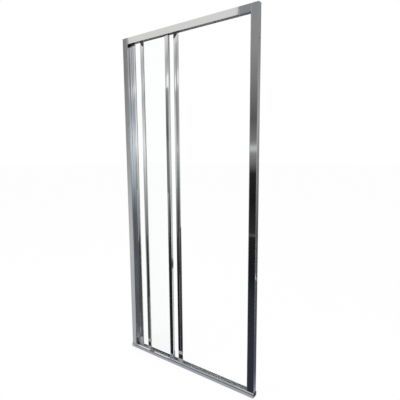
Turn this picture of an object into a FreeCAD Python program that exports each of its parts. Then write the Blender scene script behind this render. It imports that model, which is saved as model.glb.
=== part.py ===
import FreeCAD, Part
import math
import os

from FreeCAD import Vector

# A three-panel sliding shower door: a framed doorway with one fixed pane and two panes
# that slide in their own tracks. Millimetres, +Z up, +X towards the closing side,
# -Y towards the room, origin under the middle of the sill.

# Frame
frame_width = 870.0
frame_height = 1900.0
frame_wall = 1.5
frame_edge_radius = 2.0
jamb_face = 38.0
header_height = 36.0
sill_height = 27.0
sill_floor = 2.0
sill_nose = 5.0
sill_nose_slope = 6.0
sill_nose_round = 4.0

# Wall channels behind the jambs
channel_wall = 1.2
channel_base = 1.5
channel_flange = 22.0
channel_slip = 0.3
jamb_wall_gap = 1.0
wall_screw_count = 4
wall_screw_hole = 5.0
wall_screw_margin = 150.0
jamb_screw_count = 3
jamb_screw_inset = 14.0
jamb_screw_margin = 320.0

# Screws and the ports that take them
screw_shank = 3.2
screw_head = 6.4
screw_head_height = 2.0
screw_port_wall = 0.7
screw_slack = 0.2
header_screw_reach = 16.0
sill_screw_reach = 18.0
jamb_screw_reach = 6.0
stile_screw_shank = 2.9
stile_screw_head = 4.2
stile_screw_head_height = 1.6
stile_screw_reach = 7.0

# Caps, blocks, seals and stops on the frame
cap_thickness = 2.0
cap_plug_height = 6.0
cap_plug_slack = 0.6
sill_block_slack = 0.2
strike_bulb = 3.0
strike_bulb_width = 6.0
strike_bulb_round = 2.4
strike_neck = 2.0
strike_root = 4.4
strike_root_height = 1.5
bumper_width = 6.0
bumper_height = 7.5
bumper_rise = 4.0
bumper_gap = 0.4
pad_thickness = 3.5
pad_width = 7.0
pad_height = 36.0
pad_rise = 1.0
pad_round = 1.0
weep_slot_length = 20.0
weep_slot_height = 3.0
weep_slot_count = 4

# Panels
sliding_width = 272.5
glass_thickness = 4.0
gasket_thickness = 0.4
stile_wall = 1.2
stile_face = 24.0
lead_stile_face = 30.0
stile_edge_radius = 1.0
stile_crown_radius = 180.0
glass_grip = 12.0
rail_height = 11.0
rail_floor = 1.2
panel_gap = 1.0
side_gap = 0.7

# Finger groove down the front of the leading stile
finger_groove_width = 10.0
finger_groove_depth = 2.0
finger_groove_inset = 5.0

# Tracks in the header and guide ribs in the sill
ledge_rise = 16.0
ledge_thickness = 1.5
web_thickness = 1.2
ledge_front = 0.0
bead_radius = 0.5
panel_top_gap = 1.5
rib_thickness = 1.2
rib_slack = 0.5
rail_over_rib = 1.5
panel_sink = 14.5

# Hanging gear: black corner block, steel plate, axle and wheel
hanger_outer_drop = 8.0
hanger_inner_drop = 32.0
hanger_leg = 8.0
parked_block_drop = 14.0
plate_thickness = 1.6
plate_width = 8.0
plate_inset = 2.0
plate_depth_in_block = 9.0
plate_round = 3.2
plate_slack = 0.1
plate_over_axle = 4.0
plate_to_ledge = 0.3
wheel_radius = 6.5
wheel_width = 2.8
wheel_to_plate = 0.6
wheel_seat_gap = 0.3
wheel_groove_radius = 0.8
wheel_recess_depth = 0.5
wheel_rim = 1.6
wheel_hub = 1.4
axle_radius = 1.5
axle_slack = 0.2
axle_head_radius = 2.6
axle_head_height = 0.6

# Feet: guide shoe, neck and end cap under a stile
shoe_rise = 22.0
shoe_floor_gap = 0.8
neck_height = 27.0
neck_inset = 0.8
foot_cap_height = 19.0
parked_cap_height = 32.0
fixed_foot_rise = 40.0

# Catch lips and brush strips between neighbouring panels
catch_lip = 1.6
catch_reach = 1.1
catch_gap = 0.3
catch_end_gap = 25.0
closing_gap = 0.3
brush_width = 5.0
brush_root = 0.8
brush_proud = 0.7
brush_inset = 8.0

# How the two sliding panels stand with the door open
park_gap = 24.5
leading_offset = 74.5

# Sizes that follow from the ones above
glass_slot = glass_thickness + 2 * gasket_thickness
stile_depth = glass_slot + 2 * stile_wall
track_pitch = stile_depth + panel_gap
half_depth = track_pitch + stile_depth / 2 + side_gap + frame_wall
half_width = frame_width / 2
opening_left = -half_width + jamb_face
opening_right = half_width - jamb_face
front_track = -track_pitch
middle_track = 0.0
rear_track = track_pitch

header_bottom = frame_height - header_height
ledge_top = header_bottom + ledge_rise
panel_top = ledge_top - ledge_thickness - panel_top_gap
panel_bottom = sill_height - panel_sink
rib_top = panel_bottom - rail_over_rib
shoe_top = sill_height + shoe_rise
glass_bottom = panel_bottom + rail_floor + gasket_thickness
glass_top = panel_top - rail_floor - gasket_thickness
jamb_top = frame_height - cap_thickness
neck_top = shoe_top + neck_height
cap_top = neck_top + foot_cap_height
parked_cap_top = shoe_top + parked_cap_height
fixed_foot_top = sill_height + fixed_foot_rise
catch_bottom = cap_top + catch_end_gap
catch_top = header_bottom - hanger_inner_drop - catch_end_gap
hidden_block_drop = header_bottom - panel_top + rail_height
bracket_drops = (hanger_outer_drop, hanger_inner_drop)
parked_drops = (parked_block_drop, parked_block_drop)
hidden_drops = (hidden_block_drop, hidden_block_drop)

catch_overlap = stile_face + catch_lip + catch_gap
covered_width = opening_right - opening_left - strike_bulb - closing_gap
fixed_width = covered_width + 2 * catch_overlap - 2 * sliding_width
fixed_right = opening_left + fixed_width
middle_left = opening_left + park_gap
leading_left = middle_left + leading_offset

axle_height = ledge_top + wheel_seat_gap + wheel_radius
plate_front = ledge_front - plate_to_ledge - plate_thickness
wheel_front = plate_front + plate_thickness + wheel_to_plate
axle_inset = plate_inset + plate_width / 2

port_radius = screw_shank / 2 + screw_slack / 2
port_outer = port_radius + screw_port_wall
web_port = (jamb_face - frame_wall - port_outer + screw_slack, 0.0)
front_port_inset = channel_base + channel_flange + port_outer + screw_port_wall
front_port = (front_port_inset, -half_depth + frame_wall + port_outer - screw_slack)
header_ports = (-track_pitch / 2 + web_thickness / 2 + port_radius - screw_slack, rear_track)
header_port_height = jamb_top - screw_head / 2 - screw_slack


# Sections and solids

def corner_arc(before, corner, after, radius):
    """The arc that rounds one corner of an outline, as start, middle and end points."""
    towards_before = (before - corner).normalize()
    towards_after = (after - corner).normalize()
    half_angle = towards_before.getAngle(towards_after) / 2
    bisector = (towards_before + towards_after).normalize()
    start = corner + towards_before * (radius / math.tan(half_angle))
    end = corner + towards_after * (radius / math.tan(half_angle))
    middle = corner + bisector * (radius / math.sin(half_angle) - radius)
    return start, middle, end


def section(corners, place):
    """A flat face from (u, v) or (u, v, radius) corners, put in space by place(u, v)."""
    points = [place(corner[0], corner[1]) for corner in corners]
    radii = [corner[2] if len(corner) > 2 else 0.0 for corner in corners]
    edges = []
    pen = None
    first = None
    for index, point in enumerate(points):
        before = points[index - 1]
        after = points[(index + 1) % len(points)]
        if radii[index] > 0:
            start, middle, end = corner_arc(before, point, after, radii[index])
        else:
            start, middle, end = point, None, point
        if pen is None:
            first = start
        else:
            edges.append(Part.makeLine(pen, start))
        if middle is not None:
            edges.append(Part.Arc(start, middle, end).toShape())
        pen = end
    edges.append(Part.makeLine(pen, first))
    return Part.Face(Part.Wire(edges))


def along_x(corners, x0, x1):
    """Extrude an outline given in Y and Z from x0 to x1."""
    return section(corners, lambda u, v: Vector(x0, u, v)).extrude(Vector(x1 - x0, 0, 0))


def along_y(corners, y0, y1):
    """Extrude an outline given in X and Z from y0 to y1."""
    return section(corners, lambda u, v: Vector(u, y0, v)).extrude(Vector(0, y1 - y0, 0))


def along_z(corners, z0, z1):
    """Extrude an outline given in X and Y from z0 to z1."""
    return section(corners, lambda u, v: Vector(u, v, z0)).extrude(Vector(0, 0, z1 - z0))


def rectangle(u0, u1, v0, v1, radius=0.0):
    return [(u0, v0, radius), (u1, v0, radius), (u1, v1, radius), (u0, v1, radius)]


def mirrored(shape):
    """The same piece for the other side of the door."""
    return shape.mirror(Vector(0, 0, 0), Vector(1, 0, 0))


def spread(first, last, count):
    """Evenly spaced places from first to last."""
    return [first + (last - first) * index / (count - 1) for index in range(count)]


def flat_head_screw(place, direction, length, slack=0.0):
    """A countersunk screw from its flush head; with slack, the hole that it sits in."""
    head = screw_head / 2 + slack
    shank = screw_shank / 2 + slack
    cone = Part.makeCone(head, shank, frame_wall, place, direction)
    return cone.fuse(Part.makeCylinder(shank, length, place, direction)).removeSplitter()


def save(name, shape):
    solids = shape.Solids
    if len(solids) == 1:
        solids[0].exportStep(f"parts/{name}.step")
    else:
        Part.makeCompound(solids).exportStep(f"parts/{name}.step")


# Frame pieces

def wall_screw_heights():
    return spread(sill_height + wall_screw_margin, jamb_top - wall_screw_margin, wall_screw_count)


def jamb_screw_heights():
    return spread(sill_height + jamb_screw_margin, jamb_top - jamb_screw_margin, jamb_screw_count)


def jamb_screws(slack=0.0):
    """Flush screws through the left jamb's rear wall into its wall channel."""
    across = -half_width + jamb_screw_inset
    screws = []
    for height in jamb_screw_heights():
        place = Vector(across, half_depth, height)
        reach = frame_wall + channel_slip + channel_wall + jamb_screw_reach
        screws.append(flat_head_screw(place, Vector(0, -1, 0), reach, slack))
    return Part.makeCompound(screws)


def header_screws(slack=0.0):
    """Round-head screws from inside the left jamb into the ports of the header."""
    screws = []
    web_inside = opening_left - frame_wall
    for offset in header_ports:
        axis_start = Vector(web_inside, offset, header_port_height)
        shank = Part.makeCylinder(screw_shank / 2 + slack, frame_wall + header_screw_reach,
                                  axis_start, Vector(1, 0, 0))
        head = Part.makeCylinder(screw_head / 2, screw_head_height,
                                 axis_start, Vector(-1, 0, 0))
        crown = min(head.Edges, key=lambda edge: edge.CenterOfMass.x)
        head = head.makeFillet(screw_head_height / 2, [crown])
        screws.append(shank.fuse(head).removeSplitter())
    return Part.makeCompound(screws)


def sill_screws(slack=0.0):
    """Flush screws up through the sill and its end block into the left jamb's ports."""
    screws = []
    for inset, offset in (web_port, front_port):
        place = Vector(-half_width + inset, offset, 0)
        screws.append(flat_head_screw(place, Vector(0, 0, 1), sill_height + sill_screw_reach, slack))
    return Part.makeCompound(screws)


def wall_channel():
    """U channel that is screwed to the wall and slides inside the left jamb."""
    outside = half_depth - frame_wall - channel_slip
    inside = outside - channel_wall
    near = -half_width
    base = near + channel_base
    tip = near + channel_base + channel_flange
    bend = channel_wall / 2
    outline = [
        (near, -outside, bend), (tip, -outside), (tip, -inside), (base, -inside, bend),
        (base, inside, bend), (tip, inside), (tip, outside), (near, outside, bend),
    ]
    channel = along_z(outline, sill_height, jamb_top)
    for height in wall_screw_heights():
        hole = Part.makeCylinder(wall_screw_hole / 2, channel_base, Vector(near, 0, height), Vector(1, 0, 0))
        channel = channel.cut(hole)
    return channel.cut(jamb_screws(screw_slack / 2))


def jamb():
    """C extrusion for the left side, its two screw ports cut away beside the header."""
    wall_edge = -half_width + jamb_wall_gap
    inside = half_depth - frame_wall
    web = opening_left - frame_wall
    outline = [
        (wall_edge, -half_depth), (opening_left, -half_depth, frame_edge_radius),
        (opening_left, half_depth, frame_edge_radius), (wall_edge, half_depth),
        (wall_edge, inside), (web, inside, frame_wall / 2),
        (web, -inside, frame_wall / 2), (wall_edge, -inside),
    ]
    shape = along_z(outline, sill_height, jamb_top)
    height = header_bottom - sill_height
    for inset, offset in (web_port, front_port):
        centre = Vector(-half_width + inset, offset, sill_height)
        shape = shape.fuse(Part.makeCylinder(port_outer, height, centre))
        shape = shape.cut(Part.makeCylinder(port_radius, height, centre))
    shape = shape.cut(jamb_screws(screw_slack / 2))
    return shape.cut(header_screws(screw_slack)).removeSplitter()


def fixed_stile_screws(slack=0.0):
    """Screws from the fixed panel's glass slot through its left stile into the left jamb."""
    screws = []
    for height in jamb_screw_heights():
        seat = Vector(opening_left + stile_wall, rear_track, height)
        shank = Part.makeCylinder(stile_screw_shank / 2 + slack, stile_screw_reach, seat, Vector(-1, 0, 0))
        head = Part.makeCylinder(stile_screw_head / 2, stile_screw_head_height, seat, Vector(1, 0, 0))
        crown = max(head.Edges, key=lambda edge: edge.CenterOfMass.x)
        head = head.makeFillet(stile_screw_head_height / 2, [crown])
        screws.append(shank.fuse(head).removeSplitter())
    return Part.makeCompound(screws)


def left_jamb():
    """The left jamb has holes for the screws of the fixed panel's left stile."""
    return jamb().cut(fixed_stile_screws(screw_slack / 2)).removeSplitter()


def right_jamb():
    """The right jamb has a slot in its inner face for the root of the strike seal."""
    slot_half = strike_neck / 2 + screw_slack / 2
    slot = rectangle(opening_right - frame_wall, opening_right + 2 * frame_wall,
                     front_track - slot_half, front_track + slot_half)
    return mirrored(jamb()).cut(along_z(slot, sill_height, header_bottom)).removeSplitter()


def strike_seal():
    """Soft bulb that the leading stile closes against, held by a root behind the jamb's face."""
    face = opening_right
    inside = face + frame_wall
    outline = [
        (face, front_track - strike_bulb_width / 2), (face, front_track - strike_neck / 2),
        (inside, front_track - strike_neck / 2), (inside, front_track - strike_root / 2),
        (inside + strike_root_height, front_track - strike_root / 2),
        (inside + strike_root_height, front_track + strike_root / 2),
        (inside, front_track + strike_root / 2), (inside, front_track + strike_neck / 2),
        (face, front_track + strike_neck / 2), (face, front_track + strike_bulb_width / 2),
        (face - strike_bulb, front_track + strike_bulb_width / 2, strike_bulb_round),
        (face - strike_bulb, front_track - strike_bulb_width / 2, strike_bulb_round),
    ]
    return along_z(outline, sill_height, header_bottom)


def jamb_cap():
    """Moulded cap on the top end of the left jamb, with a plug that grips inside it."""
    plug_half = half_depth - frame_wall - channel_slip - channel_wall - cap_plug_slack
    plug_end = -half_width + front_port_inset - port_outer - cap_plug_slack
    outline = [
        (-half_width, -half_depth), (opening_left, -half_depth, frame_edge_radius),
        (opening_left, half_depth, frame_edge_radius), (-half_width, half_depth),
    ]
    plug_start = -half_width + channel_base + cap_plug_slack
    plug = rectangle(plug_start, plug_end, -plug_half, plug_half, cap_thickness)
    cap = along_z(outline, jamb_top, frame_height)
    return cap.fuse(along_z(plug, jamb_top - cap_plug_height, jamb_top)).removeSplitter()


def header_rail():
    """Header extrusion: a hood open below, with two webs and a wheel ledge for each track."""
    inside = half_depth - frame_wall
    ceiling = frame_height - frame_wall
    ledge_bottom = ledge_top - ledge_thickness
    hood = [
        (-half_depth, header_bottom, frame_wall / 3), (-inside, header_bottom, frame_wall / 3),
        (-inside, ceiling, frame_wall / 2), (inside, ceiling, frame_wall / 2),
        (inside, header_bottom, frame_wall / 3), (half_depth, header_bottom, frame_wall / 3),
        (half_depth, frame_height, frame_edge_radius), (-half_depth, frame_height, frame_edge_radius),
    ]
    rail = along_x(hood, opening_left, opening_right)
    for track in (front_track, middle_track):
        front = track + ledge_front
        back = track + track_pitch / 2 + web_thickness / 2
        web_front = back - web_thickness
        web = [
            (front, ledge_bottom), (back, ledge_bottom), (back, ceiling),
            (web_front, ceiling), (web_front, ledge_top, web_thickness / 2), (front, ledge_top),
        ]
        rail = rail.fuse(along_x(web, opening_left, opening_right))
    rear_ledge = rectangle(rear_track + ledge_front, inside, ledge_bottom, ledge_top)
    rail = rail.fuse(along_x(rear_ledge, opening_left, opening_right))
    length = opening_right - opening_left
    for track in (front_track, middle_track, rear_track):
        bead_centre = Vector(opening_left, track + wheel_front + wheel_width / 2, ledge_top)
        rail = rail.fuse(Part.makeCylinder(bead_radius, length, bead_centre, Vector(1, 0, 0)))
    for offset in header_ports:
        centre = Vector(opening_left, offset, header_port_height)
        stem = rectangle(offset - web_thickness / 2, offset + web_thickness / 2, header_port_height, ceiling)
        rail = rail.fuse(along_x(stem, opening_left, opening_right))
        rail = rail.fuse(Part.makeCylinder(port_outer, length, centre, Vector(1, 0, 0)))
        rail = rail.cut(Part.makeCylinder(port_radius, length, centre, Vector(1, 0, 0)))
    return rail.removeSplitter()


def nose_outline(inset, top):
    """Half section of the sill's rounded nose on the rear side, drawn in by inset."""
    outer = half_depth + sill_nose - inset
    return [
        (half_depth, inset), (outer, inset),
        (outer, top - sill_nose_slope, sill_nose_round - inset), (half_depth, top),
    ]


def sill_rail():
    """Sill extrusion: two upright walls with hollow rounded noses and a guide rib per track."""
    inside = half_depth - frame_wall
    lip = frame_wall / 3
    trough = [
        (-half_depth, 0), (half_depth, 0), (half_depth, sill_height, lip), (inside, sill_height, lip),
        (inside, sill_floor, frame_wall / 2), (-inside, sill_floor, frame_wall / 2),
        (-inside, sill_height, lip), (-half_depth, sill_height, lip),
    ]
    sill = along_x(trough, -half_width, half_width)
    nose = along_x(nose_outline(0.0, sill_height - lip), -half_width, half_width)
    hollow = along_x(nose_outline(frame_wall, sill_height - 3 * frame_wall), -half_width, half_width)
    nose = nose.cut(hollow)
    sill = sill.fuse(nose).fuse(nose.mirror(Vector(0, 0, 0), Vector(0, 1, 0)))
    for track in (front_track, middle_track, rear_track):
        rib = [
            (track - rib_thickness / 2, sill_floor), (track + rib_thickness / 2, sill_floor),
            (track + rib_thickness / 2, rib_top, rib_thickness / 3),
            (track - rib_thickness / 2, rib_top, rib_thickness / 3),
        ]
        sill = sill.fuse(along_x(rib, opening_left, opening_right))
    for centre in spread(opening_left + jamb_face, opening_right - jamb_face, weep_slot_count):
        slot = rectangle(centre - weep_slot_length / 2, centre + weep_slot_length / 2,
                         sill_floor, sill_floor + weep_slot_height, weep_slot_height / 3)
        sill = sill.cut(along_y(slot, inside - frame_wall / 4, half_depth + sill_nose + frame_wall))
    screws = sill_screws(screw_slack / 2)
    return sill.cut(screws).cut(mirrored(screws)).removeSplitter()


def sill_block():
    """Moulded block that fills the sill's trough under the left jamb."""
    half = half_depth - frame_wall - sill_block_slack
    outline = [
        (-half, sill_floor, frame_wall), (half, sill_floor, frame_wall),
        (half, sill_height), (-half, sill_height),
    ]
    return along_x(outline, -half_width, opening_left).cut(sill_screws(screw_slack / 2))


def park_bumpers():
    """Rubber stop in the header that the middle panel parks against, and a pad low in the front track."""
    tip = middle_left - bumper_gap
    stop = [
        (opening_left, -bumper_width / 2), (opening_left, bumper_width / 2),
        (tip, bumper_width / 2, bumper_width / 3), (tip, -bumper_width / 2, bumper_width / 3),
    ]
    stop_bottom = header_bottom + bumper_rise
    pad_tip = opening_left + pad_thickness
    pad_room = front_track - pad_width / 2
    pad_back = front_track + pad_width / 2
    pad = [
        (opening_left, pad_room), (opening_left, pad_back),
        (pad_tip, pad_back, pad_round), (pad_tip, pad_room, pad_round),
    ]
    pad_bottom = sill_height + pad_rise
    return Part.makeCompound([
        along_z(stop, stop_bottom, stop_bottom + bumper_height),
        along_z(pad, pad_bottom, pad_bottom + pad_height),
    ])


# Panel pieces, each for a panel whose glass lies in the plane of its track

def glass_slot_cut(track, outer, inner, z0, z1):
    """Space that the glass edge and its gasket take in a stile, block or foot."""
    depth = glass_grip if inner > outer else -glass_grip
    low, high = sorted((inner - depth, inner))
    outline = rectangle(low, high, track - glass_slot / 2, track + glass_slot / 2)
    return along_z(outline, z0, z1)


def crowned(shape, track, outer, inner):
    """Round the room side of a piece to the slight crown that the stiles have."""
    front = track - stile_depth / 2
    axis = Vector((outer + inner) / 2, front + stile_crown_radius, 0)
    return shape.common(Part.makeCylinder(stile_crown_radius, frame_height, axis))


def stile(track, outer, inner, z0, z1):
    """Hollow crowned stile between its outer and inner edge, with the glass slot on the inner side."""
    half = stile_depth / 2
    low, high = sorted((outer, inner))
    body = along_z(rectangle(low, high, track - half, track + half, stile_edge_radius), z0, z1)
    direction = 1 if inner > outer else -1
    near, far = sorted((outer + direction * stile_wall, inner - direction * (glass_grip + stile_wall)))
    chamber_half = half - stile_wall
    chamber = rectangle(near, far, track - chamber_half, track + chamber_half, stile_wall / 2)
    body = body.cut(along_z(chamber, z0, z1))
    body = body.cut(glass_slot_cut(track, outer, inner, z0, z1))
    return crowned(body, track, outer, inner)


def block_space(track, outer, inner, drops):
    """Space of a corner block under the header: flat below, or sloped to a leg down its inner side."""
    outer_drop, inner_drop = drops
    half = stile_depth / 2
    outer_bottom = header_bottom - outer_drop
    inner_bottom = header_bottom - inner_drop
    leg = inner - hanger_leg if inner > outer else inner + hanger_leg
    outline = [(outer, panel_top), (outer, outer_bottom)]
    if inner_drop > outer_drop:
        outline += [(leg, inner_bottom)]
    outline += [(inner, inner_bottom), (inner, panel_top)]
    return along_y(outline, track - half, track + half)


def catch_strip(track, left):
    """Lip down the back of a left stile that runs between the stiles of the panel behind."""
    back = track + stile_depth / 2
    outline = [
        (left, back - stile_edge_radius), (left + catch_lip, back - stile_edge_radius),
        (left + catch_lip, back + panel_gap + catch_reach, catch_lip / 4),
        (left, back + panel_gap + catch_reach, catch_lip / 4),
    ]
    return along_z(outline, catch_bottom, catch_top)


def brush_strip(track, left, proud=0.0):
    """Brush strip down the back of a left stile; with nothing proud, the groove that holds it."""
    back = track + stile_depth / 2
    near = left + brush_inset
    outline = rectangle(near, near + brush_width, back - brush_root, back + proud)
    return along_z(outline, catch_bottom, catch_top)


def left_sliding_stile(track, left, bottom, drops):
    """Left stile of a sliding panel, with its catch lip and the groove for its brush."""
    inner = left + stile_face
    shape = stile(track, left, inner, bottom, panel_top).cut(block_space(track, left, inner, drops))
    shape = shape.fuse(catch_strip(track, left))
    return shape.cut(brush_strip(track, left)).removeSplitter()


def right_sliding_stile(track, right, face, bottom, drops):
    """Plain right stile of a sliding panel, cut back under its corner block."""
    inner = right - face
    shape = stile(track, right, inner, bottom, panel_top)
    return shape.cut(block_space(track, right, inner, drops)).removeSplitter()


def finger_groove(track, right, z0, z1, wall=0.0):
    """Long shallow groove that the fingers pull on; with a wall, the round that backs it."""
    half = finger_groove_width / 2
    radius = (half ** 2 + finger_groove_depth ** 2) / (2 * finger_groove_depth)
    front = track - stile_depth / 2
    across = right - finger_groove_inset - half
    centre = Vector(across, front + finger_groove_depth - radius, z0)
    return Part.makeCylinder(radius + wall, z1 - z0, centre)


def leading_right_stile(track, right):
    """Wider stile on the closing side, its finger groove walled off from the hollow behind it."""
    wall_back = track - stile_depth / 2 + stile_wall
    shape = right_sliding_stile(track, right, lead_stile_face, cap_top, bracket_drops)
    hollow = along_z(rectangle(right - lead_stile_face, right, wall_back, track), cap_top, catch_top)
    backing = finger_groove(track, right, cap_top, catch_top, stile_wall).common(hollow)
    shape = shape.fuse(backing)
    return shape.cut(finger_groove(track, right, cap_top, catch_top)).removeSplitter()


def hanger_plate(track, outer, inner, slack=0.0):
    """Steel plate from the corner block up to the axle; with slack, its pocket in the block."""
    direction = 1 if inner > outer else -1
    ends = sorted((outer + direction * plate_inset, outer + direction * (plate_inset + plate_width)))
    low = panel_top - plate_depth_in_block
    high = axle_height + plate_over_axle
    outline = [
        (ends[0] - slack, low - slack), (ends[1] + slack, low - slack),
        (ends[1] + slack, high, plate_round), (ends[0] - slack, high, plate_round),
    ]
    front = track + plate_front
    plate = along_y(outline, front - slack, front + plate_thickness + slack)
    axle_at = Vector(outer + direction * axle_inset, front - slack, axle_height)
    axle_hole = Part.makeCylinder(axle_radius, plate_thickness + 2 * slack, axle_at, Vector(0, 1, 0))
    return plate.cut(axle_hole)


def corner_block(track, outer, inner, drops):
    """Black corner block above a stile, with a pocket for the glass edge."""
    shape = crowned(block_space(track, outer, inner, drops), track, outer, inner)
    return shape.cut(glass_slot_cut(track, outer, inner, header_bottom - hanger_inner_drop, panel_top))


def hanger_block(track, outer, inner, drops):
    """Corner block of a sliding panel, with a pocket for its hanger plate."""
    return corner_block(track, outer, inner, drops).cut(hanger_plate(track, outer, inner, plate_slack))


def axle(track, outer, inner):
    """Riveted axle: its head bears on the plate and its far end carries the wheel."""
    direction = 1 if inner > outer else -1
    across = outer + direction * axle_inset
    shank_end = track + wheel_front + wheel_width
    head_at = Vector(across, track + plate_front - axle_head_height, axle_height)
    collar_at = Vector(across, track + plate_front + plate_thickness, axle_height)
    backwards = Vector(0, 1, 0)
    head = Part.makeCylinder(axle_head_radius, axle_head_height, head_at, backwards)
    shank = Part.makeCylinder(axle_radius, shank_end - head_at.y, head_at, backwards)
    collar = Part.makeCylinder(axle_head_radius, wheel_to_plate - axle_slack, collar_at, backwards)
    return head.fuse(shank).fuse(collar).removeSplitter()


def wheel(track, outer, inner):
    """Grooved nylon wheel, dished on its far side, turned about its axle."""
    direction = 1 if inner > outer else -1
    across = outer + direction * axle_inset
    bore = axle_radius + axle_slack
    front = track + wheel_front
    back = front + wheel_width
    middle = front + wheel_width / 2
    dish = back - wheel_recess_depth
    half_groove = math.sqrt(wheel_groove_radius ** 2 - (wheel_seat_gap / 2) ** 2)
    groove_bottom = wheel_radius + wheel_seat_gap / 2 - wheel_groove_radius

    def place(radius, depth):
        return Vector(across + radius, depth, axle_height)

    edges = [
        Part.makeLine(place(bore, front), place(wheel_radius, front)),
        Part.makeLine(place(wheel_radius, front), place(wheel_radius, middle - half_groove)),
        Part.Arc(place(wheel_radius, middle - half_groove), place(groove_bottom, middle),
                 place(wheel_radius, middle + half_groove)).toShape(),
        Part.makeLine(place(wheel_radius, middle + half_groove), place(wheel_radius, back)),
        Part.makeLine(place(wheel_radius, back), place(wheel_radius - wheel_rim, back)),
        Part.makeLine(place(wheel_radius - wheel_rim, back), place(wheel_radius - wheel_rim, dish)),
        Part.makeLine(place(wheel_radius - wheel_rim, dish), place(bore + wheel_hub, dish)),
        Part.makeLine(place(bore + wheel_hub, dish), place(bore + wheel_hub, back)),
        Part.makeLine(place(bore + wheel_hub, back), place(bore, back)),
        Part.makeLine(place(bore, back), place(bore, front)),
    ]
    face = Part.Face(Part.Wire(edges))
    return face.revolve(Vector(across, front, axle_height), Vector(0, 1, 0), 360)


def guide_shoe(track, outer, inner, top, drop):
    """Moulded shoe under a stile that straddles the guide rib of its track."""
    half = stile_depth / 2
    low, high = sorted((outer, inner))
    bottom = sill_floor + drop
    outline = [
        (track - half, bottom, stile_edge_radius), (track - rib_thickness / 2 - rib_slack, bottom),
        (track - rib_thickness / 2 - rib_slack, rib_top + rib_slack, rib_slack),
        (track + rib_thickness / 2 + rib_slack, rib_top + rib_slack, rib_slack),
        (track + rib_thickness / 2 + rib_slack, bottom), (track + half, bottom, stile_edge_radius),
        (track + half, top), (track - half, top),
    ]
    shape = along_x(outline, low, high)
    return shape.cut(glass_slot_cut(track, outer, inner, panel_bottom, top))


def foot_neck(track, outer, inner):
    """Dark neck between the shoe and the end cap, set in from both faces."""
    half = stile_depth / 2 - neck_inset / 2
    low, high = sorted((outer, inner))
    outline = rectangle(low + neck_inset, high - neck_inset, track - half, track + half, stile_edge_radius)
    shape = along_z(outline, shoe_top, neck_top)
    return shape.cut(glass_slot_cut(track, outer, inner, shoe_top, neck_top))


def foot_cap(track, outer, inner, bottom, top):
    """Moulded end cap that closes the lower end of a stile."""
    half = stile_depth / 2
    low, high = sorted((outer, inner))
    outline = rectangle(low, high, track - half, track + half, stile_edge_radius)
    shape = crowned(along_z(outline, bottom, top), track, outer, inner)
    return shape.cut(glass_slot_cut(track, outer, inner, bottom, top))


def edge_rail(track, left, right, bottom, facing_up):
    """U channel that wraps the top or bottom edge of a panel's glass."""
    half = stile_depth / 2
    slot = glass_slot / 2
    floor = bottom + rail_floor if facing_up else bottom + rail_height - rail_floor
    base = bottom if facing_up else bottom + rail_height
    mouth = bottom + rail_height if facing_up else bottom
    outline = [
        (track - half, base, stile_wall / 2), (track + half, base, stile_wall / 2), (track + half, mouth),
        (track + slot, mouth), (track + slot, floor), (track - slot, floor), (track - slot, mouth),
        (track - half, mouth),
    ]
    return along_x(outline, left, right)


def top_rail(track, left, right):
    return edge_rail(track, left, right, panel_top - rail_height, False)


def bottom_rail(track, left, right):
    return edge_rail(track, left, right, panel_bottom, True)


def gasket(track, outer, inner):
    """Vinyl U strip over one upright edge of the glass."""
    direction = 1 if inner > outer else -1
    back = inner - direction * glass_grip
    glass_edge = back + direction * gasket_thickness
    slot = glass_slot / 2
    half_glass = glass_thickness / 2
    outline = [
        (back, track - slot), (inner, track - slot), (inner, track - half_glass),
        (glass_edge, track - half_glass), (glass_edge, track + half_glass),
        (inner, track + half_glass), (inner, track + slot), (back, track + slot),
    ]
    return along_z(outline, glass_bottom, glass_top)


def pane(track, left_grip, right_grip):
    """Toughened pane from the bottom of one gasket to the bottom of the other."""
    half = glass_thickness / 2
    left_edge = left_grip - glass_grip + gasket_thickness
    right_edge = right_grip + glass_grip - gasket_thickness
    return along_z(rectangle(left_edge, right_edge, track - half, track + half), glass_bottom, glass_top)


def fixed_left_stile():
    """Left stile of the fixed panel, drilled for its screws and for the driver behind them."""
    inner = opening_left + stile_face
    shape = stile(rear_track, opening_left, inner, fixed_foot_top, panel_top)
    for height in jamb_screw_heights():
        access_at = Vector(opening_left + stile_wall, rear_track, height)
        access_radius = stile_screw_head / 2 + screw_slack
        access = Part.makeCylinder(access_radius, stile_face, access_at, Vector(1, 0, 0))
        shape = shape.cut(access)
    shape = shape.cut(fixed_stile_screws(screw_slack / 2))
    return shape.cut(block_space(rear_track, opening_left, inner, parked_drops)).removeSplitter()


def fixed_panel():
    """Fixed pane in a frame of its own, screwed to the left jamb and standing in the sill."""
    track = rear_track
    left_inner = opening_left + stile_face
    right_inner = fixed_right - stile_face
    save("fixed_glass", pane(track, left_inner, right_inner))
    save("fixed_left_stile", fixed_left_stile())
    save("fixed_top_block", corner_block(track, opening_left, left_inner, parked_drops))
    right_stile = stile(track, fixed_right, right_inner, fixed_foot_top, panel_top)
    save("fixed_right_stile", right_stile.removeSplitter())
    save("fixed_stile_screws", fixed_stile_screws())
    save("fixed_top_rail", top_rail(track, left_inner, right_inner))
    save("fixed_bottom_rail", bottom_rail(track, left_inner, right_inner))
    strips = [gasket(track, opening_left, left_inner), gasket(track, fixed_right, right_inner)]
    save("fixed_glazing_gasket", Part.makeCompound(strips))
    left_foot = guide_shoe(track, opening_left, left_inner, fixed_foot_top, 0.0)
    right_foot = guide_shoe(track, fixed_right, right_inner, fixed_foot_top, 0.0)
    save("fixed_foot_blocks", Part.makeCompound([left_foot, right_foot]))


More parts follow.
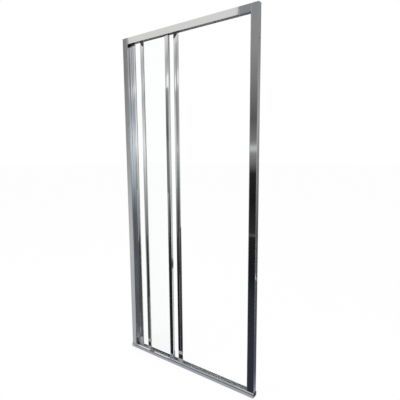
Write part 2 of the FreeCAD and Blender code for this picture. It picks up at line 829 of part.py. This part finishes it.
def sliding_panel(name, track, left, right, right_inner, left_drops, right_drops):
    """What both sliding panels have: glass, rails, gaskets, brush, hanging gear and shoes."""
    left_inner = left + stile_face
    save(f"{name}_glass", pane(track, left_inner, right_inner))
    save(f"{name}_top_rail", top_rail(track, left_inner, right_inner))
    save(f"{name}_bottom_rail", bottom_rail(track, left_inner, right_inner))
    strips = [gasket(track, left, left_inner), gasket(track, right, right_inner)]
    save(f"{name}_glazing_gasket", Part.makeCompound(strips))
    save(f"{name}_brush_seal", brush_strip(track, left, brush_proud))
    sides = (("left", left, left_inner, left_drops), ("right", right, right_inner, right_drops))
    for side, outer, inner, drops in sides:
        save(f"{name}_{side}_hanger_block", hanger_block(track, outer, inner, drops))
        save(f"{name}_{side}_wheel", wheel(track, outer, inner))
        save(f"{name}_{side}_guide_shoe", guide_shoe(track, outer, inner, shoe_top, shoe_floor_gap))
    plates = [hanger_plate(track, outer, inner) for side, outer, inner, drops in sides]
    save(f"{name}_hanger_plates", Part.makeCompound(plates))
    axles = [axle(track, outer, inner) for side, outer, inner, drops in sides]
    save(f"{name}_axles", Part.makeCompound(axles))


def middle_panel():
    """Panel of the middle track: its left stile ends in a cap and its right stile in its shoe."""
    track = middle_track
    left = middle_left
    right = left + sliding_width
    left_inner = left + stile_face
    sliding_panel("middle", track, left, right, right - stile_face, parked_drops, hidden_drops)
    save("middle_left_stile", left_sliding_stile(track, left, parked_cap_top, parked_drops))
    save("middle_right_stile", right_sliding_stile(track, right, stile_face, shoe_top, hidden_drops))
    save("middle_left_foot_cap", foot_cap(track, left, left_inner, shoe_top, parked_cap_top))


def leading_panel():
    """Panel of the front track, with a neck and a cap under each stile and the finger groove."""
    track = front_track
    left = leading_left
    right = left + sliding_width
    right_inner = right - lead_stile_face
    sliding_panel("leading", track, left, right, right_inner, bracket_drops, bracket_drops)
    save("leading_left_stile", left_sliding_stile(track, left, cap_top, bracket_drops))
    save("leading_right_stile", leading_right_stile(track, right))
    for side, outer, inner in (("left", left, left + stile_face), ("right", right, right_inner)):
        save(f"leading_{side}_foot_neck", foot_neck(track, outer, inner))
        save(f"leading_{side}_foot_cap", foot_cap(track, outer, inner, neck_top, cap_top))


def both_sides(shape):
    return Part.makeCompound(shape.Solids + mirrored(shape).Solids)


os.makedirs("parts", exist_ok=True)

save("header_rail", header_rail())
save("sill_rail", sill_rail())
save("left_jamb", left_jamb())
save("right_jamb", right_jamb())
save("left_wall_channel", wall_channel())
save("right_wall_channel", mirrored(wall_channel()))
save("left_jamb_cap", jamb_cap())
save("right_jamb_cap", mirrored(jamb_cap()))
save("left_sill_block", sill_block())
save("right_sill_block", mirrored(sill_block()))
save("jamb_screws", both_sides(jamb_screws()))
save("header_screws", both_sides(header_screws()))
save("sill_screws", both_sides(sill_screws()))
save("strike_seal", strike_seal())
save("park_bumpers", park_bumpers())
fixed_panel()
middle_panel()
leading_panel()

middle_close = fixed_right - catch_overlap - middle_left
leading_close = sliding_width - catch_overlap - leading_offset
leading_open = leading_offset - stile_face - catch_gap
print(f"fixed panel {fixed_width:.2f}, sliding panels {sliding_width:.2f}, frame depth {2 * half_depth:.2f}")
print(f"middle panel travel 0 to {middle_close:.2f}")
print(f"leading panel travel {-leading_open:.2f} to {leading_close:.2f} on the middle panel")
print(f"axle height {axle_height:.2f}, wheel centre {wheel_front + wheel_width / 2:.2f} behind its track")
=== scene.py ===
import math

import bpy
from mathutils import Matrix, Vector

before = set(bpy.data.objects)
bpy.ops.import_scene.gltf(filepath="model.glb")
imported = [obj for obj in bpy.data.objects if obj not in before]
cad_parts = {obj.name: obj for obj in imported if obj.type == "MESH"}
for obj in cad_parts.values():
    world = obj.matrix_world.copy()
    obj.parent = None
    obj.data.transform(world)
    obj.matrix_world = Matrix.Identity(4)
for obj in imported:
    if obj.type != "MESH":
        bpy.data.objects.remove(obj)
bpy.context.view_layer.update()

# Wall channels and jambs. Aluminium extrusions, polished to a mirror and bright anodised,
# so they keep fine lines from the die and a slow ripple along their length.
# The channel is screwed to the wall and the jamb slides over it and is screwed to it.


class Wire:
    """A value inside a finish: sums on it add Math nodes, and node() adds any other node."""

    def __init__(self, tree, socket=None):
        self.tree = tree
        self.socket = socket

    def node(self, kind, settings=None, sockets=None, output=None):
        made = self.tree.nodes.new("ShaderNode" + kind)
        for key, value in (settings or {}).items():
            if key == "stops":
                stops = made.color_ramp.elements
                stops.remove(stops[1])
                stops[0].position = value[0][0]
                stops[0].color = (*value[0][1], 1.0)
                for place, shade in value[1:]:
                    stops.new(place).color = (*shade, 1.0)
            else:
                setattr(made, key, value)
        for key, value in (sockets or {}).items():
            plug = next(p for p in made.inputs if key in (p.identifier, p.name) and p.enabled)
            if isinstance(value, Wire):
                self.tree.links.new(value.socket, plug)
            else:
                plug.default_value = value
        plugs = (p for p in made.outputs if p.enabled and output in (None, p.identifier, p.name))
        return Wire(self.tree, next(plugs, None))

    def math(self, operation, first, second):
        return self.node("Math", {"operation": operation}, {"Value": first, "Value_001": second})

    def __add__(self, other):
        return self.math("ADD", self, other)

    def __mul__(self, other):
        return self.math("MULTIPLY", self, other)

    def __pow__(self, other):
        return self.math("POWER", self, other)

    __radd__ = __add__
    __rmul__ = __mul__


def new_finish(name):
    """An empty material, and the wire that its nodes are made on."""
    material = bpy.data.materials.new(name)
    material.use_nodes = True
    material.node_tree.nodes.clear()
    return material, Wire(material.node_tree)


def grain(wire, spots, detail=2.0):
    """Soft noise over the piece, with so many spots per metre in X, Y and Z."""
    place = wire.node("TexCoord", output="Object")
    place = wire.node("Mapping", {}, {"Vector": place, "Scale": spots})
    return wire.node("TexNoise", {}, {"Vector": place, "Scale": 1.0, "Detail": detail}, "Fac")


def mixed(wire, share, first, second):
    """The first colour where the share is 0, the second where it is 1."""
    colours = {"Factor_Float": share, "A_Color": (*first, 1.0), "B_Color": (*second, 1.0)}
    return wire.node("Mix", {"data_type": "RGBA"}, colours, "Result_Color")


def bumpy(wire, height, strength, depth=0.0001):
    """The surface pushed in and out by a height, up to so many metres deep."""
    return wire.node("Bump", {}, {"Strength": strength, "Distance": depth, "Height": height})


def dress(nodes, material):
    """Gives solids of the frame their finish."""
    for node in nodes:
        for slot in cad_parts[node].material_slots:
            slot.material = material


polish_dim = (0.77, 0.78, 0.79)
polish_bright = (0.82, 0.83, 0.84)
polish_roughness = 0.02
mill_roughness = 0.8
ripple_depth = 0.0006


def bright_aluminium(name, length_axis, mill_depth=0.0):
    """Mirror finish whose die lines and ripple run along the extrusion.

    Within mill_depth of a rail's middle plane the metal is left as it came off the die.
    """
    material, wire = new_finish(name)

    def drawn(across, along, detail=2.0):
        spots = [across, across, across]
        spots[length_axis] = along
        return grain(wire, spots, detail)

    depth = wire.node("SeparateXYZ", {}, {"Vector": wire.node("TexCoord", output="Object")}, "Y")
    inside = wire.math("LESS_THAN", depth * depth, mill_depth ** 2)
    die_lines = drawn(across=900.0, along=1.5)
    ripple = drawn(across=45.0, along=2.2, detail=1.0)
    film = drawn(across=60.0, along=18.0, detail=4.0)
    metal = wire.node("BsdfPrincipled", {}, {
        "Base Color": mixed(wire, film, polish_dim, polish_bright),
        "Metallic": 1.0,
        "Roughness": polish_roughness + 0.025 * die_lines + 0.035 * film + mill_roughness * inside,
        "Normal": bumpy(wire, die_lines * 0.1 + ripple, strength=0.08, depth=ripple_depth),
    })
    wire.node("OutputMaterial", {}, {"Surface": metal})
    return material


upright_aluminium = bright_aluminium("bright_aluminium_upright", length_axis=2)
dress(["left_wall_channel", "right_wall_channel", "left_jamb", "right_jamb"], upright_aluminium)

# Header and sill rails. The same bright extrusion laid level: the header is a hood over the
# tracks, and the sill has rounded noses, guide ribs and weep slots. Screws hold both to the jambs.

level_aluminium = bright_aluminium("bright_aluminium_level", length_axis=0, mill_depth=0.0127)
dress(["header_rail", "sill_rail"], level_aluminium)

# Screws. Zinc-plated steel, bright with a faint blue and straw bloom. They join the jambs
# to the channels, the header, the sill and the fixed pane's left stile.

zinc_blue = (0.58, 0.60, 0.64)
zinc_straw = (0.68, 0.66, 0.60)
zinc_steel, wire = new_finish("zinc_steel")
bloom = grain(wire, (260.0, 260.0, 260.0), detail=3.0)
scuffs = grain(wire, (1500.0, 1500.0, 400.0))
plated = wire.node("BsdfPrincipled", {}, {
    "Base Color": mixed(wire, bloom, zinc_blue, zinc_straw),
    "Metallic": 1.0,
    "Roughness": 0.22 + 0.18 * scuffs,
    "Normal": bumpy(wire, scuffs, strength=0.15),
})
wire.node("OutputMaterial", {}, {"Surface": plated})
dress(["jamb_screws", "header_screws", "sill_screws", "fixed_stile_screws"], zinc_steel)

# Sill blocks. Moulded black nylon with a fine matt skin,
# pressed into the ends of the sill's trough and held by the sill screws.


def moulded_plastic(name, shade, bright_shade, roughness, skin_strength):
    """Moulded plastic with the fine spark-eroded skin of its tool and faint flow clouds."""
    material, wire = new_finish(name)
    skin = grain(wire, (2600.0, 2600.0, 2600.0))
    flow = grain(wire, (70.0, 70.0, 70.0), detail=3.0)
    moulding = wire.node("BsdfPrincipled", {}, {
        "Base Color": mixed(wire, flow, shade, bright_shade),
        "Roughness": roughness - 0.06 + 0.08 * skin + 0.06 * flow,
        "Normal": bumpy(wire, skin, skin_strength),
    })
    wire.node("OutputMaterial", {}, {"Surface": moulding})
    return material


block_black = (0.012, 0.012, 0.013)
block_cloud = (0.022, 0.022, 0.024)
black_plastic = moulded_plastic("black_plastic", block_black, block_cloud,
                                roughness=0.55, skin_strength=0.35)
dress(["left_sill_block", "right_sill_block"], black_plastic)

# Jamb caps. Moulded grey plastic with a half gloss,
# plugged into the open tops of the jambs.

cap_grey = (0.50, 0.51, 0.53)
cap_cloud = (0.58, 0.59, 0.61)
cap_plastic = moulded_plastic("cap_plastic", cap_grey, cap_cloud, roughness=0.3, skin_strength=0.12)
dress(["left_jamb_cap", "right_jamb_cap"], cap_plastic)

# Strike seal and parking bumpers. Soft black rubber, extruded and cut to length,
# the seal pushed into the right jamb's slot, one bumper up in the header and one on the left jamb.

rubber_black = (0.045, 0.045, 0.048)
rubber_bloom = (0.085, 0.085, 0.090)
seal_rubber, wire = new_finish("seal_rubber")
bloom = grain(wire, (90.0, 90.0, 25.0), detail=4.0)
drag = grain(wire, (1800.0, 1800.0, 12.0))
rubber = wire.node("BsdfPrincipled", {}, {
    "Base Color": mixed(wire, bloom, rubber_black, rubber_bloom),
    "Roughness": 0.5 + 0.2 * bloom,
    "Normal": bumpy(wire, drag, strength=0.25),
})
wire.node("OutputMaterial", {}, {"Surface": rubber})
dress(["strike_seal", "park_bumpers"], seal_rubber)

# Panes. Clear toughened float glass, 4 mm thick, with the faint roller wave of toughening
# and a trace of dried water. The upright edges sit in gaskets inside the stiles, and the rails
# hold the top and bottom edges.

gloss_tint = (0.93, 0.96, 0.95, 1.0)
clear_tint = (0.998, 1.0, 0.999, 1.0)
square_gloss = 0.0012
grazing_gloss = 0.7
gloss_rise = 5.0
clear_glass, wire = new_finish("clear_glass")
wave = grain(wire, (3.0, 3.0, 14.0), detail=1.0)
water = grain(wire, (38.0, 38.0, 16.0), detail=5.0)
wavy = bumpy(wire, wave, strength=0.02, depth=0.001)
gloss = wire.node("BsdfPrincipled", {}, {
    "Base Color": gloss_tint,
    "Metallic": 1.0,
    "Roughness": 0.01 + 0.05 * water,
    "Normal": wavy,
})
through = wire.node("BsdfTransparent", {}, {"Color": clear_tint})
slant = wire.node("LayerWeight", {}, {"Blend": 0.5, "Normal": wavy}, "Facing")
share = square_gloss + grazing_gloss * slant ** gloss_rise
pane = wire.node("MixShader", {}, {"Fac": share, "Shader": through, "Shader_001": gloss})
wire.node("OutputMaterial", {}, {"Surface": pane})
dress(["fixed_glass", "middle_glass", "leading_glass"], clear_glass)

# Stiles and rails of the three panels. Bright extrusions cut square: the stiles are pressed over
# the gaskets on the upright edges of the glass, and the rails wrap its top and bottom edges.

panels = ("fixed", "middle", "leading")
dress([f"{panel}_{side}_stile" for panel in panels for side in ("left", "right")], upright_aluminium)
dress([f"{panel}_{end}_rail" for panel in panels for end in ("top", "bottom")], level_aluminium)

# Glazing gaskets. Clear vinyl extrusions, slightly cloudy, folded over the upright edges
# of the glass and gripped by the stiles.

vinyl_dim = (0.68, 0.71, 0.71)
vinyl_bright = (0.78, 0.80, 0.80)
clear_vinyl, wire = new_finish("clear_vinyl")
cloud = grain(wire, (40.0, 40.0, 9.0), detail=3.0)
vinyl = wire.node("BsdfPrincipled", {}, {
    "Base Color": mixed(wire, cloud, vinyl_dim, vinyl_bright),
    "Roughness": 0.28 + 0.16 * cloud,
    "Subsurface Weight": 0.2,
    "Subsurface Radius": (0.002, 0.002, 0.002),
    "Normal": bumpy(wire, cloud, strength=0.1),
})
wire.node("OutputMaterial", {}, {"Surface": vinyl})
dress([f"{panel}_glazing_gasket" for panel in panels], clear_vinyl)

# Brush seals. Grey pile woven into a backing strip, slid into a groove down the back of
# each sliding panel's left stile, where its tips brush the stile of the panel behind.

pile_dark = (0.17, 0.17, 0.18)
pile_light = (0.36, 0.36, 0.37)
sliding_panels = ("middle", "leading")
pile, wire = new_finish("pile")
tufts = grain(wire, (2400.0, 2400.0, 700.0))
dust = grain(wire, (60.0, 60.0, 14.0), detail=3.0)
woven = wire.node("BsdfPrincipled", {}, {
    "Base Color": mixed(wire, tufts * 0.7 + dust * 0.3, pile_dark, pile_light),
    "Roughness": 0.82 + 0.12 * tufts,
    "Sheen Weight": 0.4,
    "Normal": bumpy(wire, tufts, strength=0.5, depth=0.0002),
})
wire.node("OutputMaterial", {}, {"Surface": woven})
dress([f"{panel}_brush_seal" for panel in sliding_panels], pile)

# Hanging gear. Black nylon corner blocks at the tops of the stiles, zinc-plated plates that rise
# from them to the axles, and grooved white nylon wheels that run along the header's ledges.

wheel_white = (0.80, 0.80, 0.77)
wheel_cloud = (0.88, 0.88, 0.85)
nylon = moulded_plastic("nylon", wheel_white, wheel_cloud, roughness=0.38, skin_strength=0.1)
dress(["fixed_top_block"], black_plastic)
for panel in sliding_panels:
    dress([f"{panel}_left_hanger_block", f"{panel}_right_hanger_block"], black_plastic)
    dress([f"{panel}_hanger_plates", f"{panel}_axles"], zinc_steel)
    dress([f"{panel}_left_wheel", f"{panel}_right_wheel"], nylon)

# Feet. Light grey acetal shoes that straddle the sill's ribs, necks above them whose black is painted
# shade for the shadowed recess between shoe and cap, and grey end caps that close the lower ends of the
# stiles.

foot_grey = (0.25, 0.255, 0.265)
foot_cloud = (0.31, 0.315, 0.325)
grey_plastic = moulded_plastic("grey_plastic", foot_grey, foot_cloud, roughness=0.36, skin_strength=0.12)
dress(["fixed_foot_blocks", "middle_left_foot_cap", "leading_left_foot_cap", "leading_right_foot_cap"],
      grey_plastic)
for panel in sliding_panels:
    dress([f"{panel}_left_guide_shoe", f"{panel}_right_guide_shoe"], grey_plastic)
# The necks get the black plastic as painted shade, darkening the recess between the shoes and the end
# caps.
dress(["leading_left_foot_neck", "leading_right_foot_neck"], black_plastic)

# Studio. A pale floor and an even white surround, with a soft lamp from the room side
# so that the door keeps a light shadow on the floor.

white = (1.0, 1.0, 1.0, 1.0)
surround_light = 0.9
scene = bpy.context.scene
world = bpy.data.worlds.new("surround")
scene.world = world
world.use_nodes = True
world.node_tree.nodes.clear()
wire = Wire(world.node_tree)


def seen_rays(wire):
    """1 for what the camera sees, straight, in metal or through glass, and 0 for what lights a surface."""
    seen = wire.node("LightPath", output="Is Camera Ray") + wire.node("LightPath", output="Is Glossy Ray")
    return wire.math("MINIMUM", seen + wire.node("LightPath", output="Is Transmission Ray"), 1.0)


brightness = surround_light + (1.0 - surround_light) * seen_rays(wire)
sky = wire.node("Background", {}, {"Color": white, "Strength": brightness})
wire.node("OutputWorld", {}, {"Surface": sky})


def flat_board(name, corners, material):
    """A stage board with four corners, or more, in order."""
    mesh = bpy.data.meshes.new(name)
    mesh.from_pydata([Vector(corner) for corner in corners], [], [list(range(len(corners)))])
    board = bpy.data.objects.new(name, mesh)
    board.data.materials.append(material)
    scene.collection.objects.link(board)
    return board


floor_paint = (0.9, 0.9, 0.9, 1.0)
floor_glow = 0.93
floor_reach = 40.0
pale_floor, wire = new_finish("pale_floor")
matt = wire.node("BsdfDiffuse", {}, {"Color": floor_paint})
lit = wire.node("Emission", {}, {"Color": white, "Strength": 1.0})
pale = wire.node("MixShader", {}, {"Fac": floor_glow * seen_rays(wire), "Shader": matt, "Shader_001": lit})
wire.node("OutputMaterial", {}, {"Surface": pale})
floor_turns = ((-1, -1), (1, -1), (1, 1), (-1, 1))
flat_board("floor", [(x * floor_reach, y * floor_reach, 0.0) for x, y in floor_turns], pale_floor)

lamp_place = Vector((-0.8, -2.4, 3.4))
lamp_aim = Vector((0.0, 0.0, 0.9))
lamp = bpy.data.lights.new("soft_lamp", "AREA")
lamp.shape = "RECTANGLE"
lamp.size = 2.4
lamp.size_y = 2.0
lamp.energy = 60.0
lamp_stand = bpy.data.objects.new("soft_lamp", lamp)
scene.collection.objects.link(lamp_stand)
lamp_stand.location = lamp_place
lamp_stand.rotation_euler = (lamp_aim - lamp_place).to_track_quat("-Z", "Y").to_euler()
lamp_stand.visible_glossy = False

# Boards in front. Grey boards across the room side that only the metal sees, so that the mirror
# finish has a room to reflect: dim low down, light at eye level and grey above.

height_axis = 2
room_front = -1.5
far_left_edge = -2.9
left_edge = -2.07
near_left_edge = -1.955
far_right_edge = 2.6
front_edges = (far_left_edge, left_edge, near_left_edge, -1.45, -0.51, 0.9, 1.2, far_right_edge)


def graded_board(name, corners, axis, stops):
    """A board whose grey changes along one axis; only what is reflected in metal sees it."""
    material, wire = new_finish(name)
    low, high = stops[0][0], stops[-1][0]
    place = wire.node("TexCoord", output="Object")
    place = wire.node("SeparateXYZ", {}, {"Vector": place}, "XYZ"[axis])
    place = wire.node("MapRange", {}, {"Value": place, "From Min": low, "From Max": high}, "Result")
    ramp = [((stop - low) / (high - low), shade) for stop, shade in stops]
    shade = wire.node("ValToRGB", {"stops": ramp}, {"Fac": place}, "Color")
    wire.node("OutputMaterial", {}, {"Surface": wire.node("Emission", {}, {"Color": shade})})
    board = flat_board(name, corners, material)
    board.visible_camera = False
    board.visible_diffuse = False
    board.visible_transmission = False
    board.visible_shadow = False


def cross_board(name, line, left, right, stops):
    """A board that stands across the room, from its lowest stop to its highest."""
    low, high = stops[0][0], stops[-1][0]
    corners = ((left, line, low), (right, line, low), (right, line, high), (left, line, high))
    graded_board(name, corners, height_axis, stops)


def grey(shade, warmth=0.0):
    """A grey, redder where warmth is above 0 and bluer where it is below."""
    return (shade * (1 + warmth), shade, shade * (1 - warmth))


def violet(shade, depth):
    """A grey with more blue in it."""
    return (shade, shade, shade * (1 + depth))


front_boards = {
    "far_left_board": (
        (0.0, grey(0.1)), (0.35, grey(0.1)), (0.75, grey(0.26, -0.13)), (0.95, grey(0.38, -0.13)),
        (1.35, grey(0.8, -0.08)), (1.5, grey(0.7, -0.08)), (1.7, grey(0.48, -0.13)),
        (1.85, grey(0.45, -0.13)), (2.0, grey(0.9)), (2.1, grey(0.55)), (2.8, grey(0.6))),
    "left_board": (
        (0.0, grey(0.58)), (0.7, grey(0.5)), (1.2, grey(0.36)), (2.2, grey(0.24)), (2.8, grey(0.26))),
    "near_left_board": (
        (0.0, grey(0.03)), (0.22, grey(0.07)), (0.36, grey(0.22)), (0.69, grey(0.35)), (0.98, grey(0.59)),
        (1.3, grey(0.88)), (1.4, grey(0.88)), (1.62, grey(0.66)), (1.85, grey(0.52)), (1.96, grey(0.6)),
        (2.28, grey(0.55)), (2.42, grey(0.77, 0.02)), (2.8, grey(0.78, 0.02))),
    "middle_board": (
        (0.0, grey(0.019)), (0.4, grey(0.04)), (0.6, grey(0.08)), (0.75, grey(0.17)), (1.27, grey(0.46)),
        (1.5, grey(0.38)), (1.81, grey(0.355)), (1.89, grey(0.42)), (1.95, grey(1.05)), (2.04, grey(1.1)),
        (2.09, grey(0.6)), (2.22, grey(0.44)), (2.42, grey(0.77, 0.02)), (2.8, grey(0.78, 0.02))),
    "right_board": (
        (0.0, violet(0.014, 0.35)), (0.445, grey(0.016)), (0.455, grey(0.2)), (0.465, grey(0.03)),
        (0.8, grey(0.012)), (1.05, grey(0.02)), (1.15, grey(0.17)), (1.24, grey(0.27)), (1.27, grey(0.57)),
        (1.295, grey(0.57)), (1.32, grey(0.3)), (1.36, grey(0.2)), (1.55, grey(0.115)), (1.9, grey(0.225)),
        (2.2, grey(0.30)), (2.8, grey(0.29, -0.06))),
    "corner_board": (
        (0.0, grey(0.14)), (0.5, grey(0.18, -0.1)), (0.7, grey(0.34, -0.13)), (0.95, grey(0.66, -0.13)),
        (1.35, grey(0.9, -0.08)), (1.5, grey(0.8, -0.08)), (1.7, grey(0.5, -0.13)), (2.0, grey(0.4)),
        (2.2, grey(0.28)), (2.5, grey(0.5)), (2.8, grey(0.6))),
    "far_right_board": (
        (0.0, grey(0.14)), (0.5, grey(0.18, -0.1)), (0.7, grey(0.34, -0.13)), (0.95, grey(0.66, -0.13)),
        (1.35, grey(0.98, -0.05)), (1.5, grey(0.95, -0.05)), (1.7, grey(0.66, -0.13)),
        (1.85, grey(0.62, -0.13)), (2.0, grey(1.0)), (2.15, grey(0.66)), (2.35, grey(0.62)),
        (2.8, grey(0.7))),
}
for (name, stops), left, right in zip(front_boards.items(), front_edges, front_edges[1:]):
    cross_board(name, room_front, left, right, stops)

# Near strips. Narrow cards held a hand's breadth from the door, as for a product picture,
# so that one stile at a time gets a dark or a light line. Only the metal sees them.

card_line = -0.18
far_card_line = -0.24
close_card_line = -0.07
shower_card_line = 0.12
cross_board("dark_strip", card_line, -0.318, -0.237, (
    (0.99, grey(0.19)), (1.24, grey(0.22)), (1.36, grey(0.12)), (1.41, grey(0.14)), (1.58, grey(0.25)),
    (1.634, grey(0.36))))
cross_board("light_strip", far_card_line, -0.31, -0.277, (
    (1.02, grey(0.6)), (1.25, grey(0.9)), (1.45, grey(0.95)), (1.6, grey(0.7))))
cross_board("parked_dark_strip", card_line, -0.575, -0.53, (
    (1.0, grey(0.25)), (1.19, grey(0.42)), (1.31, grey(0.8)), (1.45, grey(0.4)), (1.6, grey(0.42)),
    (1.66, grey(0.7)), (1.72, grey(0.42)), (1.93, grey(0.38))))
cross_board("parked_strip", card_line, -0.53, -0.487, (
    (1.15, grey(0.6)), (1.31, grey(1.0)), (1.47, grey(0.85)), (1.58, grey(0.68)), (1.66, grey(0.95)),
    (1.72, grey(0.8)), (1.79, grey(0.62)), (1.93, grey(0.76))))
cross_board("foot_strip", close_card_line, -0.335, -0.295, (
    (0.0, grey(0.36)), (0.04, grey(0.23)), (0.09, grey(0.15)), (0.34, grey(0.14))))
cross_board("stile_dark_strip", close_card_line, -0.4545, -0.431, (
    (0.09, grey(0.1)), (0.2, grey(0.07)), (0.42, grey(0.07)), (0.68, grey(0.12))))
cross_board("shower_dark_strip", shower_card_line, 0.045, 0.105, (
    (0.42, grey(0.08)), (0.72, grey(0.1)), (0.8, grey(0.25))))

# Floor mats in front. Grey mats laid fanwise from the door towards the boards, which only the metal
# sees, so that the lower ends of the stiles and jambs reflect a dim floor.

depth_axis = 1
mat_height = 0.001
sill_line = -0.02
mat_line = -0.04
grey_mat_end = -0.41
parked_mat_end = -0.431
right_mat_end = 0.9


def floor_mat(name, outline, stops):
    """A mat just above the floor whose grey changes with the distance from the door."""
    graded_board(name, [(x, y, mat_height) for x, y in outline], depth_axis, stops)


def mat_fan(line, edges, mats):
    """Mats side by side, each between two edges that run from a line at the door to the front boards."""
    for (name, stops), (left, far_left), (right, far_right) in zip(mats.items(), edges, edges[1:]):
        outline = ((left, line), (far_left, room_front), (far_right, room_front), (right, line))
        floor_mat(name, outline, stops)


floor_mat("sill_mat", ((grey_mat_end, sill_line), (parked_mat_end, mat_line), (right_mat_end, mat_line),
                       (right_mat_end, sill_line)), (
    (mat_line, violet(0.38, 0.14)), (sill_line, violet(0.46, 0.12))))
mat_fan(sill_line, ((-1.2, far_left_edge), (-0.45, left_edge), (grey_mat_end, near_left_edge)), {
    "far_left_mat": ((room_front, grey(0.1, -0.1)), (sill_line, grey(0.1, -0.1))),
    "grey_mat": ((room_front, grey(0.56, -0.03)), (sill_line, grey(0.48, -0.05))),
})
mat_fan(mat_line, ((parked_mat_end, near_left_edge), (-0.36, -1.82), (-0.235, -1.58), (-0.03, -0.93),
                   (0.385, -0.4), (0.46, -0.25), (right_mat_end, far_right_edge)), {
    "parked_mat": ((room_front, violet(0.09, 0.1)), (mat_line, violet(0.11, 0.3))),
    "stile_mat": ((room_front, grey(0.035)), (-0.6, grey(0.05)), (mat_line, grey(0.075))),
    "left_mat": ((room_front, grey(0.014)), (-0.45, violet(0.014, 0.05)), (mat_line, violet(0.02, 0.35))),
    "middle_mat": ((room_front, violet(0.09, 0.15)), (mat_line, violet(0.09, 0.15))),
    "right_mat": ((room_front, violet(0.016, 0.4)), (-1.1, violet(0.025, 0.5)), (-0.3, violet(0.035, 0.5)),
                  (mat_line, violet(0.035, 0.5))),
    "far_right_mat": ((room_front, grey(0.16, -0.1)), (mat_line, grey(0.16, -0.1))),
})

# Boards and mats behind. The same on the shower side, for the sides and backs of the stiles,
# with light wedges of floor left bare between the mats.

room_back = 3.0
room_side = 3.4
back_line = 0.03
back_edges = (1.4, 2.15, 2.53, 2.68, room_side)
back_boards = {
    "back_right_board": (
        (0.0, grey(0.1)), (0.6, grey(0.17)), (1.0, grey(0.22)), (1.3, grey(0.32)), (1.8, grey(0.38)),
        (2.2, grey(0.35)), (2.6, grey(0.29)), (4.0, grey(0.29))),
    "back_light_board": (
        (0.0, grey(0.9)), (0.5, grey(0.9)), (1.3, grey(0.97)), (2.2, grey(0.95)), (2.6, grey(0.6)),
        (2.9, grey(0.45)), (4.0, grey(0.45))),
    "back_middle_board": ((0.0, grey(0.08)), (0.5, grey(0.2)), (1.3, grey(0.5)), (4.0, grey(0.5))),
    "back_left_board": ((0.0, grey(0.45)), (4.0, grey(0.5))),
}
for (name, stops), left, right in zip(back_boards.items(), back_edges, back_edges[1:]):
    cross_board(name, room_back, left, right, stops)

back_outline = ((-0.035, back_line), (room_side, back_line), (room_side, room_back), (2.54, room_back),
                (1.17, 1.5), (2.15, room_back), (1.85, room_back), (1.01, 1.3))
floor_mat("back_mat", back_outline, (
    (back_line, violet(0.32, 0.12)), (0.1, violet(0.18, 0.25)), (0.2, violet(0.09, 0.35)),
    (1.0, violet(0.09, 0.1)), (room_back, grey(0.10))))
back_left_outline = ((-room_side, back_line), (-0.45, back_line), (0.55, 1.0), (1.2, 2.0),
                     (1.4, room_back), (-room_side, room_back))
floor_mat("back_left_mat", back_left_outline, ((back_line, grey(0.2)), (room_back, grey(0.5))))

# Mats and walls beside. A mat in line with each jamb, and walls all round with a light band
# at eye level, so that the metal isn't white on white from the sides and from behind.

jamb_side = 0.44
far_wall = 5.0
far_wall_left = -6.0
far_wall_right = 1.9
wall = ((0.0, grey(0.4)), (0.8, grey(0.25)), (1.2, grey(0.45)), (1.35, grey(0.85)), (1.5, grey(0.85)),
        (1.65, grey(0.4)), (2.2, grey(0.28)), (4.0, grey(0.4)))
wall_top = wall[-1][0]
wall_turns = ((room_front, 0.0), (far_wall, 0.0), (far_wall, wall_top), (room_front, wall_top))
cross_board("back_wall_board", far_wall, far_wall_left, far_wall_right, wall)
for hand, turn in (("left", -1), ("right", 1)):
    near, far = turn * jamb_side, turn * room_side
    mat_turns = ((near, sill_line), (far, sill_line), (far, back_line), (near, back_line))
    floor_mat(f"{hand}_side_mat", mat_turns, ((sill_line, grey(0.3)), (back_line, grey(0.3))))
    graded_board(f"{hand}_wall_board", [(far, y, z) for y, z in wall_turns], height_axis, wall)

# Camera. It stands to the right in the room, a little above the middle of the door,
# and leans a touch.

eye_place = (1.1737, -1.5014, 1.2350)
look = Vector((-0.57665, 0.80656, -0.13012))
lean_degrees = -0.42
lean = Matrix.Rotation(math.radians(lean_degrees), 4, "Z")
eye = bpy.data.cameras.new("eye")
eye.sensor_width = 36.0
eye.lens = 31.62
eye.clip_start = 0.05
eye_stand = bpy.data.objects.new("eye", eye)
scene.collection.objects.link(eye_stand)
facing = look.to_track_quat("-Z", "Y").to_matrix().to_4x4()
eye_stand.matrix_world = Matrix.Translation(eye_place) @ facing @ lean
scene.camera = eye_stand
scene.view_settings.view_transform = "Standard"
